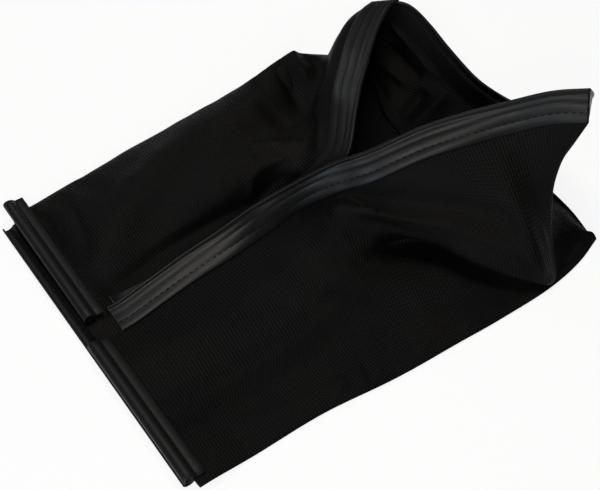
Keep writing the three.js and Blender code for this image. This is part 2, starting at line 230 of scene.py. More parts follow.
far_rim = guide(
    (front_x(230) + far_setback, 230, front_layer + 2), (40, 231, 5), (60, 231, 3.6), (95, 231, 3.5),
    (145, 233, 4.6), (196, 236, 6.2), (245, 240, 8.5), (293, 243, 17), (330, 232, 54), (361, 230, 79),
    (406, 271, 98), (435, 299, 105), (459, 319, 110), (484, 340, 114), (515, 364, 118),
    (549, 384, 121), (565, 387, 122))

# %% [markdown]
# ## Rows of cloth
# At each step along the bag, one curve runs through all the guide lines from the near hem to the far
# hem. Above each hem the cloth is flat, because the stiff edging holds it. Numpy works out all the rows
# at once, which keeps the notebook quick.

# %% Sections of the wrap panel
length_steps = 240
strip_columns = 5
wrap_lines = [
    (near_hem, 20), (near_ridge, 14), (near_lip, 12), (near_valley, 10), (near_flat, 12),
    (near_fold_over, 5), (near_fold, 5), (near_fold_under, 5), (floor_near, 6), (floor_middle, 5),
    (floor_far, 6),
    (far_rise, 6), (far_fold, 16), (far_shoulder, 14), (far_middle, 12), (far_arch, 12),
    (far_hollow, 10), (far_hem, 0)]


def hem_strip(rim, hem):
    down = hem - rim
    down /= np.linalg.norm(down, axis=-1, keepdims=True)
    depths = np.linspace(strip_overlap_start, strip_width, strip_columns + 1) * MM
    return rim[:, None, :] + down[:, None, :] * depths[None, :, None]


def sections(points, steps):
    """Rows through the guide points; between two of them a row stays near their heights."""
    places = [k + s / n for k, n in enumerate(steps) for s in range(n)] + [len(steps)]
    places = np.array(places, dtype=float)
    rows = curve_at(points, places)
    span = np.clip(np.floor(places).astype(int), 0, len(steps) - 1)
    one, two = points[:, span, 2], points[:, span + 1, 2]
    rows[..., 2] = np.clip(rows[..., 2], np.minimum(one, two), np.maximum(one, two))
    return rows


shares = np.linspace(0, 1, length_steps + 1)
near_band = hem_strip(even_points(near_rim, shares), even_points(near_hem, shares))
far_band = hem_strip(even_points(far_rim, shares), even_points(far_hem, shares))
guides = np.stack([even_points(line, shares) for line, _ in wrap_lines], axis=1)
guides[:, 0] = near_band[:, -1]
guides[:, -1] = far_band[:, -1]
wrap_steps = [steps for _, steps in wrap_lines[:-1]]
body = sections(guides, wrap_steps)
body[..., 2] = np.maximum(body[..., 2], floor_layer * MM)
wrap_rows = np.concatenate([near_band[:, :-1], body, far_band[:, ::-1][:, 1:]], axis=1)
print("wrap rows", wrap_rows.shape)


def column_of(line):
    position = [entry is line for entry, _ in wrap_lines].index(True)
    return strip_columns + sum(wrap_steps[:position])


def inward(rows):
    along = np.gradient(rows, axis=0)
    across = np.gradient(rows, axis=1)
    normal = np.cross(along, across)
    return normal / np.maximum(np.linalg.norm(normal, axis=-1, keepdims=True), 1e-12)


# %% [markdown]
# ## The rear panel
# It is sewn just inside the wrap panel's rear edge. Its foot runs along the bottom, then the panel
# folds in over the floor and comes out again to the sagging rear rim.

# %% Sections of the rear panel
rear_steps = 160
seam_overlap = 3.0 * MM
seam_offset = 1.35 * MM  # a little more than the cloth's thickness
wrap_inward = inward(wrap_rows)
wrap_end = wrap_rows[-1] - wrap_rows[-2]
wrap_end /= np.linalg.norm(wrap_end, axis=-1, keepdims=True)
seam = wrap_rows[-1] - wrap_end * seam_overlap + wrap_inward[-1] * seam_offset
rear_lines = {
    "bottom": seam[column_of(near_fold):column_of(far_fold) + 1],
    "low": guide((562, 60, 10), (552, 110, 6), (542, 215, 6), (546, 330, 6), (566, 420, 18)),
    "inner": guide((528, 80, 34), (505, 130, 9), (490, 220, 5), (500, 320, 5), (535, 400, 30)),
    "upper": guide((540, 85, 70), (548, 130, 30), (545, 215, 14), (540, 300, 20), (545, 375, 54)),
    "hem": guide((570, 60, 138), (588, 100, 84), (598, 160, 32), (590, 222, 20), (580, 268, 36),
                 (572, 322, 60), (562, 362, 84), (552, 396, 98)),
}
seam_ends = {
    "low": (near_flat, far_shoulder), "inner": (near_lip, far_middle),
    "upper": (near_ridge, far_arch), "hem": (near_hem, far_hem)}
rear_rim = guide(
    (568, 62, 196), (585, 72, 172), (604, 105, 115), (618, 155, 64), (610, 215, 50), (594, 253, 62),
    (586, 305, 84), (581, 342, 104), (575, 374, 118), (566, 387.5, 122))
rear_row_steps = [34, 30, 20, 10]


def rear_line(name):
    if name not in seam_ends:
        return rear_lines[name]
    near, far = seam_ends[name]
    ends = seam[column_of(near)], seam[column_of(far)]
    return np.concatenate([ends[0][None], rear_lines[name], ends[1][None]])


rear_shares = np.linspace(0, 1, rear_steps + 1)
rear_band = hem_strip(even_points(rear_rim, rear_shares), even_points(rear_line("hem"), rear_shares))
rear_guides = np.stack(
    [rear_band[:, -1]]
    + [even_points(rear_line(name), rear_shares) for name in ("upper", "inner", "low", "bottom")], axis=1)
rear_rows = np.concatenate([rear_band[:, :-1], sections(rear_guides, rear_row_steps)], axis=1)


def ease_into(rows, seam_line, blend_rows=18):
    """Moves the end rows onto the seam, fading out over a few rows; rows starts at the seam."""
    here = np.linspace(0, 1, rows.shape[1])
    there = np.linspace(0, 1, len(seam_line))
    target = np.stack([np.interp(here, there, seam_line[:, axis]) for axis in range(3)], axis=1)
    fade = np.clip(1 - np.arange(rows.shape[0]) / blend_rows, 0, 1) ** 2
    rows += (target - rows[0])[None] * fade[:, None, None]


ease_into(rear_rows, seam[:column_of(near_fold) + 1])
ease_into(rear_rows[::-1], seam[column_of(far_fold):][::-1])
print("rear rows", rear_rows.shape)

# %% [markdown]
# ## Small creases
# The long lines give the main folds. Woven cloth that was folded away also keeps fine creases. A crease
# is a low ridge along a short line, and it fades with the distance from that line and towards the line's
# ends. Smooth noise adds the soft unevenness in between.

# %% Creases
crease_end_share = 0.3


def crease(rows, trail, height, width, columns, crispness):
    """How far each point is raised by a ridge along a trail of points; 1 is crisp and 2 is soft."""
    line = np.array(trail, dtype=float) * MM
    near = rows[..., :line.shape[1]]
    best = np.full(rows.shape[:2], 1e9)
    share = np.zeros(rows.shape[:2])
    total = len(line) - 1
    for k in range(total):
        step = line[k + 1] - line[k]
        t = np.clip(((near - line[k]) @ step) / (step @ step), 0, 1)
        gap = np.linalg.norm(near - line[k] - t[..., None] * step, axis=-1)
        closer = gap < best
        best = np.where(closer, gap, best)
        share = np.where(closer, (k + t) / total, share)
    fade = np.clip(np.minimum(share, 1 - share) / crease_end_share, 0, 1)
    raised = height * MM * np.exp(-((best / (width * MM)) ** crispness)) * fade * (2 - fade)
    raised[:, :columns[0]] = 0
    raised[:, columns[1]:] = 0
    return raised


def unevenness(rows, size, height, seed):
    """Smooth seeded noise over the cloth, the same on every run."""
    field = np.zeros(rows.shape[:2])
    offset = Vector((seed * 3.7, seed * 1.3, seed * 2.1))
    for i in range(rows.shape[0]):
        for j in range(rows.shape[1]):
            field[i, j] = noise.noise(Vector(rows[i, j]) / (size * MM) + offset)
    return field * height * MM


near_side = (strip_columns, column_of(near_fold_over))
far_side = (column_of(floor_far), wrap_rows.shape[1] - strip_columns)
# Heights are into the bag, so a ridge that stands out of it is negative
wrap_creases = [
    # The near ridge's crest and the smooth hollow above it
    (((300, 190, 54), (318, 182, 58), (340, 154, 62), (377, 107, 62), (399, 84, 61), (420, 50, 57),
      (441, 15, 49), (453, -6, 38), (464, -19, 22)), -10.0, 6, near_side, 1.1),
    (((322, 200, 64), (368, 146, 72), (414, 92, 76), (440, 56, 74), (464, 30, 66)),
     9.0, 14, near_side, 2.0),
    # Small folds at its upper end
    (((326, 164, 56), (342, 147, 52), (358, 128, 48), (374, 108, 46)), 4.0, 5, near_side, 1.5),
    (((306, 170, 48), (312, 156, 38), (330, 138, 28), (352, 118, 20)), 3.0, 5, near_side, 1.8),
    (((300, 160, 36), (306, 146, 26), (322, 126, 18), (344, 108, 12)), -2.4, 5, near_side, 1.6),
    (((290, 176, 24), (296, 156, 20), (310, 132, 12), (330, 108, 7)), 2.2, 6, near_side, 2.0),
    # Toe and foot
    (((490, 24, 56), (485, 19, 53), (481, 4, 38), (471, -16, 20)), -2.5, 5, near_side, 1.4),
    (((500, -8, 7), (523, 2, 8), (545, 10, 10)), -3.0, 6, near_side, 1.6),
    (((496, 12, 14), (522, 20, 12), (545, 30, 14)), 3.0, 8, near_side, 2.0),
    # The cloth lying flat at the front, and the wrinkles along its folded edge
    (((60, 30), (120, 26), (190, 16), (250, 6)), -1.6, 8, near_side, 1.8),
    (((170, 0), (184, 8), (196, 22)), -2.6, 6, near_side, 1.6),
    (((212, -4), (222, 8), (226, 24)), 2.0, 6, near_side, 1.8),
    (((280, -8), (300, 4), (330, 10)), -2.0, 7, near_side, 1.8),
    (((340, -12), (370, -2), (410, -6)), -2.2, 7, near_side, 1.8),
    (((60, 150), (130, 160), (200, 172), (262, 182)), -2.2, 16, near_side, 2.0),
    (((40, 90), (90, 110), (150, 118)), 1.6, 18, near_side, 2.0),
    (((230, 130), (255, 96), (290, 60)), -2.0, 16, near_side, 2.0),
    # The far side: a long soft swell beside its fold, and dents behind its clip
    (((44, 290, 14), (72, 318, 29), (128, 352, 50), (190, 380, 56), (248, 400, 57), (315, 392, 66)),
     -6.0, 26, far_side, 2.0),
    (((96, 300, 20), (150, 326, 46), (215, 345, 56), (280, 352, 56), (330, 345, 50)),
     5.0, 24, far_side, 2.0),
    (((66, 425), (72, 396), (62, 352), (50, 318)), 5.0, 9, far_side, 1.8),
    (((96, 430), (112, 396), (118, 372)), 3.5, 12, far_side, 2.0),
    (((44, 400), (42, 372), (46, 344)), -3.0, 7, far_side, 1.8),
    # The arch over the hollow beside the rim, with short ribs behind it
    (((250, 286, 18), (260, 291, 30), (269, 296, 43), (285, 301, 47), (302, 302, 49), (325, 297, 50)),
     -6.0, 5, far_side, 1.3),
    (((296, 340, 56), (318, 328, 54), (332, 312, 50)), -3.0, 5, far_side, 1.5),
    (((262, 284, 14), (284, 288, 18), (308, 284, 28), (322, 270, 40)), 5.0, 10, far_side, 2.0),
    (((284, 322), (304, 312), (330, 306)), 2.0, 7, far_side, 2.0),
    (((312, 330), (336, 318), (352, 300)), -2.5, 7, far_side, 1.6),
    # The folded peak beside the rim: a crisp ridge, a dark valley before it and a facet behind it
    (((424, 430, 86), (419, 410, 76), (419, 390, 66), (416, 368, 66), (402, 338, 74)),
     -10.0, 6, far_side, 1.2),
    (((396, 424, 72), (398, 400, 60), (396, 372, 52), (384, 342, 56)), 9.0, 10, far_side, 2.0),
    (((446, 418, 68), (442, 396, 66), (434, 372, 72)), 6.0, 10, far_side, 2.0),
    (((404, 352, 60), (386, 318, 66), (362, 284, 70), (338, 262, 62)), -3.0, 6, far_side, 1.5),
    (((340, 392), (352, 366), (360, 340)), 3.0, 10, far_side, 2.0),
]
wrap_raise = unevenness(wrap_rows, 90, 2.4, 1) + unevenness(wrap_rows, 30, 0.8, 2)
for trail, height, width, columns, crispness in wrap_creases:
    wrap_raise = wrap_raise + crease(wrap_rows, trail, height, width, columns, crispness)

whole_rear = (strip_columns, rear_rows.shape[1])
rear_creases = [
    # Seen inside the mouth: a ribbed ridge, a bright band below the rim, and dark hollows beside them
    (((500, 279, 9), (526, 281, 18), (548, 283, 25), (572, 284, 36)), 9.0, 8, whole_rear, 1.3),
    (((508, 304, 12), (530, 304, 20), (552, 308, 34)), -8.0, 10, whole_rear, 2.0),
    (((506, 256, 8), (534, 258, 14), (566, 262, 34)), -6.0, 12, whole_rear, 2.0),
    (((554, 395, 94), (558, 370, 84), (563, 346, 71), (567, 321, 57), (573, 300, 46)),
     7.0, 7, whole_rear, 1.4),
    (((542, 388, 62), (549, 362, 56), (553, 338, 46), (556, 318, 38)), -8.0, 8, whole_rear, 2.0),
    (((534, 398, 40), (533, 368, 40), (540, 342, 32), (544, 324, 24)), 7.0, 7, whole_rear, 1.4),
    (((522, 386, 26), (518, 360, 18), (514, 336, 14)), -5.0, 7, whole_rear, 1.8),
    # Where the panel sags at the rear and near its seams
    (((520, 110), (512, 160), (520, 215)), 4.0, 9, whole_rear, 2.0),
    (((540, 150), (532, 190), (538, 240)), -5.0, 10, whole_rear, 2.0),
    (((560, 120), (556, 170), (560, 230)), 4.0, 8, whole_rear, 2.0),
]
rear_raise = unevenness(rear_rows, 60, 2.4, 5) + unevenness(rear_rows, 22, 1.2, 6)
for trail, height, width, columns, crispness in rear_creases:
    rear_raise = rear_raise + crease(rear_rows, trail, height, width, columns, crispness)


flat_front = 24 * MM
front_fade = 45 * MM


def held_down(rows, raise_by, bands):
    """Fades the creases out where stiff edging, clips and seams hold the cloth."""
    columns = np.arange(rows.shape[1])
    fade = np.ones(rows.shape[:2])
    for first, last, reach in bands:
        gap = np.maximum(np.maximum(first - columns, columns - last), 0)
        fade *= np.clip(gap / reach, 0, 1)[None, :]
    from_front = (rows[..., 0] - flat_front) / front_fade
    return raise_by * fade * np.clip(from_front, 0, 1)


last_column = wrap_rows.shape[1] - 1
seam_fade_rows = 14
wrap_raise = held_down(wrap_rows, wrap_raise, [
    (0, strip_columns, 6), (last_column - strip_columns, last_column, 6),
    (column_of(near_fold), column_of(floor_far), 4)])
rows_from_seam = np.minimum(np.arange(rear_steps + 1), rear_steps - np.arange(rear_steps + 1))
rear_fade = np.clip(rows_from_seam / seam_fade_rows, 0, 1)
rear_raise = held_down(rear_rows, rear_raise, [(0, strip_columns, 6), (rear_rows.shape[1] - 1, 999, 8)])
rear_raise = rear_raise * rear_fade[:, None]

wrap_rows = wrap_rows + inward(wrap_rows) * wrap_raise[..., None]
rear_rows = rear_rows + inward(rear_rows) * rear_raise[..., None]
wrap_rows[..., 2] = np.maximum(wrap_rows[..., 2], floor_layer * MM)
rear_rows[..., 2] = np.maximum(rear_rows[..., 2], (2 * mesh_layer + clearance) * MM)
print("creases up to", round(float(np.abs(wrap_raise).max()) / MM, 1), "mm")

# %% [markdown]
# ## Sheets from grids
# A grid is the natural start for a sheet of cloth. Blender makes it flat, with an even net of faces, and
# each of its points is then moved to its own place on the bag. The same grid, laid out flat, also gives
# the weave its map: one step along a thread is the same length all over the cloth.

# %% Sheet helper
def grid_mesh(name, rows, seam_loop=False):
    """A net of faces with its points at rows, in the frame's place, with a flat map in metres."""
    along, across = rows.shape[0] - 1, rows.shape[1] - 1
    net = bmesh.new()
    bmesh.ops.create_grid(net, x_segments=along, y_segments=across, size=1.0)
    places = np.array([vert.co[:2] for vert in net.verts])
    i = np.rint((places[:, 0] + 1) / 2 * along).astype(int)
    j = np.rint((places[:, 1] + 1) / 2 * across).astype(int)
    for vert, point in zip(net.verts, rows[i, j] - np.array(bag_origin)):
        vert.co = point
    long_steps = np.linalg.norm(np.diff(rows, axis=0), axis=-1).mean(axis=1)
    cross_steps = np.linalg.norm(np.diff(rows, axis=1), axis=-1).mean(axis=0)
    lengths = np.concatenate([[0], np.cumsum(long_steps)])
    widths = np.concatenate([[0], np.cumsum(cross_steps)])
    flat_map = net.loops.layers.uv.new("flat")
    for face in net.faces:
        for loop in face.loops:
            k = loop.vert.index
            loop[flat_map].uv = (lengths[i[k]], widths[j[k]])
    if seam_loop:
        bmesh.ops.remove_doubles(net, verts=net.verts, dist=1e-6)
        bmesh.ops.holes_fill(net, edges=[edge for edge in net.edges if edge.is_boundary], sides=0)
        bmesh.ops.recalc_face_normals(net, faces=net.faces)
    mesh = bpy.data.meshes.new(name)
    net.to_mesh(mesh)
    net.free()
    return mesh


def piece(name, mesh, material):
    obj = bpy.data.objects.new(name, mesh)
    bpy.context.scene.collection.objects.link(obj)
    mesh.materials.append(material)
    mesh.polygons.foreach_set("use_smooth", [True] * len(mesh.polygons))
    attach(obj, "root")
    return obj


def area_of(rows):
    a = rows[1:, :-1] - rows[:-1, :-1]
    b = rows[:-1, 1:] - rows[:-1, :-1]
    return float(np.linalg.norm(np.cross(a, b), axis=-1).sum())


print("wrap cloth", round(area_of(wrap_rows), 4), "m2, rear cloth", round(area_of(rear_rows), 4), "m2")

# %% [markdown]
# ## Weave
# The cloth is a coated mesh: thick ribs run one way and thinner threads cross them. One node group makes
# that pattern from the flat map. It gives a height for the bump and a mask of the thread tops, which are
# smoother than the gaps between them; the gaps are painted darker as shade, so the tops come out a little
# lighter. Blender's math nodes make it from sines.

# %% Node helpers
def add_node(tree, kind, **settings):
    node = tree.nodes.new(kind)
    for key, value in settings.items():
        setattr(node, key, value)
    return node


def calculate(tree, operation, one, two=None):
    node = add_node(tree, "ShaderNodeMath", operation=operation)
    for socket, value in zip(node.inputs, (one, two)):
        if hasattr(value, "links"):
            tree.links.new(value, socket)
        elif value is not None:
            socket.default_value = value
    return node.outputs[0]


def group_with(name, inputs, outputs):
    tree = bpy.data.node_groups.new(name, "ShaderNodeTree")
    for label, kind, value in inputs:
        socket = tree.interface.new_socket(label, in_out="INPUT", socket_type=kind)
        if value is not None:
            socket.default_value = value
    for label, kind in outputs:
        tree.interface.new_socket(label, in_out="OUTPUT", socket_type=kind)
    return tree, add_node(tree, "NodeGroupInput"), add_node(tree, "NodeGroupOutput")


# %% Weave group
def weave_group():
    tree, given, result = group_with(
        "weave",
        [("Map", "NodeSocketVector", None), ("Rib pitch", "NodeSocketFloat", 0.0036),
         ("Thread pitch", "NodeSocketFloat", 0.0026)],
        [("Height", "NodeSocketFloat"), ("Tops", "NodeSocketFloat")])
    split = add_node(tree, "ShaderNodeSeparateXYZ")
    tree.links.new(given.outputs["Map"], split.inputs[0])
    turns = 2 * math.pi
    rib = calculate(tree, "DIVIDE", split.outputs["X"], given.outputs["Rib pitch"])
    thread = calculate(tree, "DIVIDE", split.outputs["Y"], given.outputs["Thread pitch"])
    rib_wave = calculate(tree, "SINE", calculate(tree, "MULTIPLY", rib, turns))
    thread_wave = calculate(tree, "SINE", calculate(tree, "MULTIPLY", thread, turns))
    crossing = calculate(tree, "MULTIPLY", rib_wave, thread_wave)
    ribs = calculate(tree, "MULTIPLY", rib_wave, 0.24)
    knots = calculate(tree, "MULTIPLY", crossing, 0.26)
    height = calculate(tree, "ADD", calculate(tree, "ADD", ribs, knots), 0.5)
    tops = calculate(tree, "POWER", height, 3.0)
    tree.links.new(height, result.inputs["Height"])
    tree.links.new(tops, result.inputs["Tops"])
    return tree


def soft_variation_group():
    """A slow light and dark change over a surface, at random."""
    tree, given, result = group_with(
        "soft_variation",
        [("Place", "NodeSocketVector", None), ("Scale", "NodeSocketFloat", 8.0)],
        [("Amount", "NodeSocketFloat")])
    cloud = add_node(tree, "ShaderNodeTexNoise", noise_dimensions="3D")
    cloud.inputs["Detail"].default_value = 3.0
    tree.links.new(given.outputs["Place"], cloud.inputs["Vector"])
    tree.links.new(given.outputs["Scale"], cloud.inputs["Scale"])
    tree.links.new(cloud.outputs["Fac"], result.inputs["Amount"])
    return tree


weave = weave_group()
soft_variation = soft_variation_group()

# %% [markdown]
# ## Black finishes
# Black things are told apart by how they shine. The mesh has a dull body with small glints on its
# threads, the vinyl has a wide soft sheen, and the clips are duller, with fine drawn lines along them.

# %% Material helpers
def new_material(name, roughness, specular):
    material = bpy.data.materials.new(name)
    material.use_nodes = True
    tree = material.node_tree
    shader = tree.nodes["Principled BSDF"]
    shader.inputs["Roughness"].default_value = roughness
    shader.inputs["Specular IOR Level"].default_value = specular
    return material, tree, shader


def blend_color(tree, factor, dark, light):
    mix = add_node(tree, "ShaderNodeMix", data_type="RGBA")
    tree.links.new(factor, mix.inputs[0])
    mix.inputs[6].default_value = (*dark, 1)
    mix.inputs[7].default_value = (*light, 1)
    return mix.outputs[2]


def blend_value(tree, factor, low, high):
    span = add_node(tree, "ShaderNodeMapRange")
    tree.links.new(factor, span.inputs["Value"])
    span.inputs["To Min"].default_value = low
    span.inputs["To Max"].default_value = high
    return span.outputs[0]


def bumped(tree, shader, height, strength, distance):
    bump = add_node(tree, "ShaderNodeBump")
    bump.inputs["Strength"].default_value = strength
    bump.inputs["Distance"].default_value = distance
    tree.links.new(height, bump.inputs["Height"])
    tree.links.new(bump.outputs[0], shader.inputs["Normal"])


def varied(tree, scale):
    place = add_node(tree, "ShaderNodeTexCoord")
    node = add_node(tree, "ShaderNodeGroup", node_tree=soft_variation)
    node.inputs["Scale"].default_value = scale
    tree.links.new(place.outputs["Object"], node.inputs["Place"])
    return node.outputs["Amount"]


# %% Mesh fabric
def fabric_material():
    material, tree, shader = new_material("black_mesh", 0.6, 0.1)
    flat = add_node(tree, "ShaderNodeUVMap", uv_map="flat")
    threads = add_node(tree, "ShaderNodeGroup", node_tree=weave)
    threads.inputs["Rib pitch"].default_value = 0.0038
    threads.inputs["Thread pitch"].default_value = 0.0027
    tree.links.new(flat.outputs[0], threads.inputs["Map"])
    tops = threads.outputs["Tops"]
    cloud = varied(tree, 9.0)
    # The gaps of the weave are painted darker as shade, and the thread tops a little lighter
    color = blend_color(tree, tops, (0.0011, 0.0011, 0.0012), (0.0044, 0.0042, 0.0039))
    tint = blend_color(tree, cloud, (0.7, 0.74, 0.84), (1.3, 1.22, 1.05))
    shade = add_node(tree, "ShaderNodeMix", data_type="RGBA", blend_type="MULTIPLY")
    shade.inputs[0].default_value = 1.0
    tree.links.new(color, shade.inputs[6])
    tree.links.new(tint, shade.inputs[7])
    tree.links.new(shade.outputs[2], shader.inputs["Base Color"])
    gloss = blend_color(tree, cloud, (0.42, 0.5, 0.66), (1.0, 0.93, 0.78))
    tree.links.new(gloss, shader.inputs["Specular Tint"])
    tree.links.new(blend_value(tree, tops, 0.66, 0.27), shader.inputs["Roughness"])
    bumped(tree, shader, threads.outputs["Height"], 1.0, 0.0008)
    return material


# %% Vinyl and clip plastic
def streaked_material(name, dark, light, roughness, specular, streak, bump_height):
    material, tree, shader = new_material(name, roughness, specular)
    flat = add_node(tree, "ShaderNodeUVMap", uv_map="flat")
    stretch = add_node(tree, "ShaderNodeMapping")
    stretch.inputs["Scale"].default_value = streak
    tree.links.new(flat.outputs[0], stretch.inputs["Vector"])
    lines = add_node(tree, "ShaderNodeTexNoise", noise_dimensions="2D")
    lines.inputs["Scale"].default_value = 1.0
    lines.inputs["Detail"].default_value = 4.0
    tree.links.new(stretch.outputs[0], lines.inputs["Vector"])
    amount = lines.outputs["Fac"]
    tree.links.new(blend_color(tree, varied(tree, 14.0), dark, light), shader.inputs["Base Color"])
    gloss = blend_value(tree, amount, roughness - 0.1, roughness + 0.12)
    tree.links.new(gloss, shader.inputs["Roughness"])
    bumped(tree, shader, amount, 0.35, bump_height)
    return material


black_mesh = fabric_material()
streak_height = 0.0001
black_vinyl = streaked_material(
    "black_vinyl", dark=(0.003, 0.0031, 0.0035), light=(0.0062, 0.0064, 0.0068), roughness=0.38,
    specular=0.12, streak=(18.0, 900.0, 1.0), bump_height=streak_height)
black_clip = streaked_material(
    "black_clip", dark=(0.0032, 0.0033, 0.0036), light=(0.0058, 0.006, 0.0063), roughness=0.48,
    specular=0.14, streak=(6.0, 700.0, 1.0), bump_height=streak_height)


def thread_material():
    material, tree, shader = new_material("black_thread", 0.8, 0.1)
    color = blend_color(tree, varied(tree, 300.0), (0.001, 0.001, 0.001), (0.003, 0.003, 0.003))
    tree.links.new(color, shader.inputs["Base Color"])
    return material


black_thread = thread_material()

# %% [markdown]
# ## The two cloth pieces
# Each sheet is a grid moved onto its rows. A Solidify modifier gives it the cloth's thickness.

# %% Cloth pieces
cloth_thickness = 1.3 * MM


def cloth_piece(name, rows):
    obj = piece(name, grid_mesh(name, rows), black_mesh)
    wall = obj.modifiers.new("thickness", "SOLIDIFY")
    wall.thickness = cloth_thickness
    wall.offset = 0.0
    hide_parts(name.replace("_cloth", ""))
    return obj


wrap_cloth = cloth_piece("wrap_panel_cloth", wrap_rows)
rear_cloth = cloth_piece("rear_panel_cloth", rear_rows)

# %% [markdown]
# ## Rim edging
# The edging is an extruded vinyl strip: a round bead along its top, a groove below it, and a flange that
# is sewn to the mesh through a shallow channel. One outline follows the outer face of the cloth from the
# near front, round the rear and back along the far side.

# %% Outline of the edging
strip_inner = mesh_layer / 2 + clearance
strip_outer = strip_inner + 1.8
bead_radius = 2.3
bead_middle = (strip_inner + strip_outer) / 2
sewing_depth = 24.2


def edging_outline():
    """Points as (depth below the bead, distance out of the cloth's middle), all in millimetres."""
    bead = []
    for angle in np.linspace(0.25 * math.pi, 1.75 * math.pi, 13):
        bead.append((bead_radius * math.cos(angle), bead_middle + bead_radius * math.sin(angle)))
    inside = [(5.5, strip_inner), (14, strip_inner), (24, strip_inner), (strip_width, strip_inner)]
    edge = [(strip_width + 0.2, strip_inner + 0.5), (strip_width, strip_outer - 0.4),
            (strip_width - 0.8, strip_outer)]
    outside = [(30, strip_outer), (25.6, strip_outer), (sewing_depth + 0.7, strip_outer - 0.15),
               (sewing_depth - 0.7, strip_outer - 0.15), (22.8, strip_outer), (18, strip_outer + 0.05),
               (12.6, strip_outer + 0.05), (12.2, strip_outer - 0.1), (11.6, strip_outer - 0.1),
               (11.2, strip_outer + 0.05), (8, strip_outer), (5.6, strip_outer), (3.2, strip_outer - 0.5)]
    outline = bead + inside + edge + outside
    return np.array(outline + outline[:1])


def band_points(rows, columns, depths, out):
    """Points at a depth below the rim and a distance out of the cloth, for every row."""
    facing = -inward(rows)
    band = rows[:, columns]
    outward = facing[:, columns]
    steps = np.linspace(strip_overlap_start, strip_width, len(columns))
    down = band[:, 1] - band[:, 0]
    down /= np.linalg.norm(down, axis=1, keepdims=True)
    points = []
    for depth, distance in zip(depths, out):
        k = int(np.clip(np.searchsorted(steps, depth) - 1, 0, len(columns) - 2))
        t = float(np.clip((depth - steps[k]) / (steps[k + 1] - steps[k]), 0, 1))
        base = band[:, k] * (1 - t) + band[:, k + 1] * t
        normal = outward[:, k] * (1 - t) + outward[:, k + 1] * t
        spare = depth - float(np.clip(depth, strip_overlap_start, strip_width))
        points.append(base + down * spare * MM + normal * distance * MM)
    return np.stack(points, axis=1)


near_columns = list(range(strip_columns + 1))
far_columns = [wrap_rows.shape[1] - 1 - k for k in near_columns]
strip_start_share = 2 / 44
strip_first_row = round(strip_start_share * length_steps)


def round_the_rim(depths, out):
    near = band_points(wrap_rows, near_columns, depths, out)[strip_first_row:]
    rear = band_points(rear_rows, near_columns, depths, out)
    far = band_points(wrap_rows, far_columns, depths, out)[strip_first_row:][::-1]
    return np.concatenate([near, rear, far])


outline = edging_outline()
rim_rows = round_the_rim(outline[:, 0], outline[:, 1])
edging_mesh = grid_mesh("rim_edging", rim_rows, seam_loop=True)
edging = piece("rim_edging", edging_mesh, black_vinyl)
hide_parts("rim_strip")
print("edging", len(edging.data.vertices), "points")

# %% [markdown]
# ## Stitches
# A lockstitch shows as a row of short threads with small gaps. Each one is a stretched ball laid in the
# edging's channel, turned along the strip.

# %% Stitch row
stitch_pitch = 8.6 * MM
stitch_length = 5.6 * MM
stitch_radius = 0.5 * MM


def stitch_row(name, trail, facing):
    length = np.concatenate([[0], np.cumsum(np.linalg.norm(np.diff(trail, axis=0), axis=1))])
    count = int(length[-1] / stitch_pitch)
    net = bmesh.new()
    for k in range(count):
        place = (k + 0.5) * stitch_pitch
        tips = [place - stitch_length / 2, place + stitch_length / 2]
        ends = np.stack([np.interp(tips, length, trail[:, a]) for a in range(3)], axis=1)
        up = Vector([np.interp(place, length, facing[:, a]) for a in range(3)]).normalized()
        run = Vector(ends[1] - ends[0])
        along = run.normalized()
        side_way = along.cross(up).normalized()
        middle = Vector((ends[0] + ends[1]) / 2) - bag_origin
        turn = Matrix((side_way * stitch_radius, up * stitch_radius, along * run.length / 2)).transposed()
        bmesh.ops.create_uvsphere(net, u_segments=8, v_segments=6, radius=1.0,
                                  matrix=Matrix.Translation(middle) @ turn.to_4x4())
    bmesh.ops.recalc_face_normals(net, faces=net.faces)
    mesh = bpy.data.meshes.new(name)
    net.to_mesh(mesh)
    net.free()
    print(name, count, "stitches")
    piece(name, mesh, black_thread)


channel_bed = strip_outer - 0.2
sewing_line = round_the_rim([sewing_depth, sewing_depth], [channel_bed + 0.25, channel_bed + 1.25])
stitch_row("edging_stitches", sewing_line[:, 0], sewing_line[:, 1] - sewing_line[:, 0])

# %% [markdown]
# ## Hook clips
# All three clips are cut from one extrusion: a lip, a hump with the hook's channel inside it, and a
# flange that is sewn to the mesh. The outline goes round once, and is then laid along each front edge.

# %% Clip outline
def bend(start, corner, end, steps=8):
    """Points of a curve from start to end that turns towards corner, without its first point."""
    t = np.linspace(0, 1, steps + 1)[1:, None]
    start, corner, end = (np.array(p, dtype=float) for p in (start, corner, end))
    return list((1 - t) ** 2 * start + 2 * t * (1 - t) * corner + t ** 2 * end)


def clip_outline():
    lip = 2
    points = [(-clip_hook_reach + 0.4, -0.5), (-clip_hook_reach, -0.1), (-clip_hook_reach, 2.5)]
    points += bend(points[-1], (-clip_hook_reach + 1, clip_height - 0.5),
                   (-clip_hook_reach + 6, clip_height))
    points += bend(points[-1], (-1, clip_height), (3, clip_thickness))
    points += [(4.5, clip_thickness), (clip_flange - 0.5, clip_thickness),
               (clip_flange, clip_thickness - 0.5), (clip_flange, 0.4), (clip_flange - 0.4, 0), (3, 0),
               (1.5, 0)]
    points += bend(points[-1], (-2, clip_hump), (-clip_hook_reach + 5, clip_hump))
    points += bend(points[-1], (-clip_hook_reach + lip, clip_hump), (-clip_hook_reach + lip, 2.5))
    points += [(-clip_hook_reach + lip, -0.1), (-clip_hook_reach + lip - 0.4, -0.5)]
    return np.array(points + points[:1])


# %% Clips
clip_outline_points = clip_outline()
side_clip_length = 208
near_clip_start = 7
long_clip_start, long_clip_end = 10, 436
clip_turn = Matrix.Rotation(-math.atan(front_skew), 3, "Z")
clip_rows_step = 12


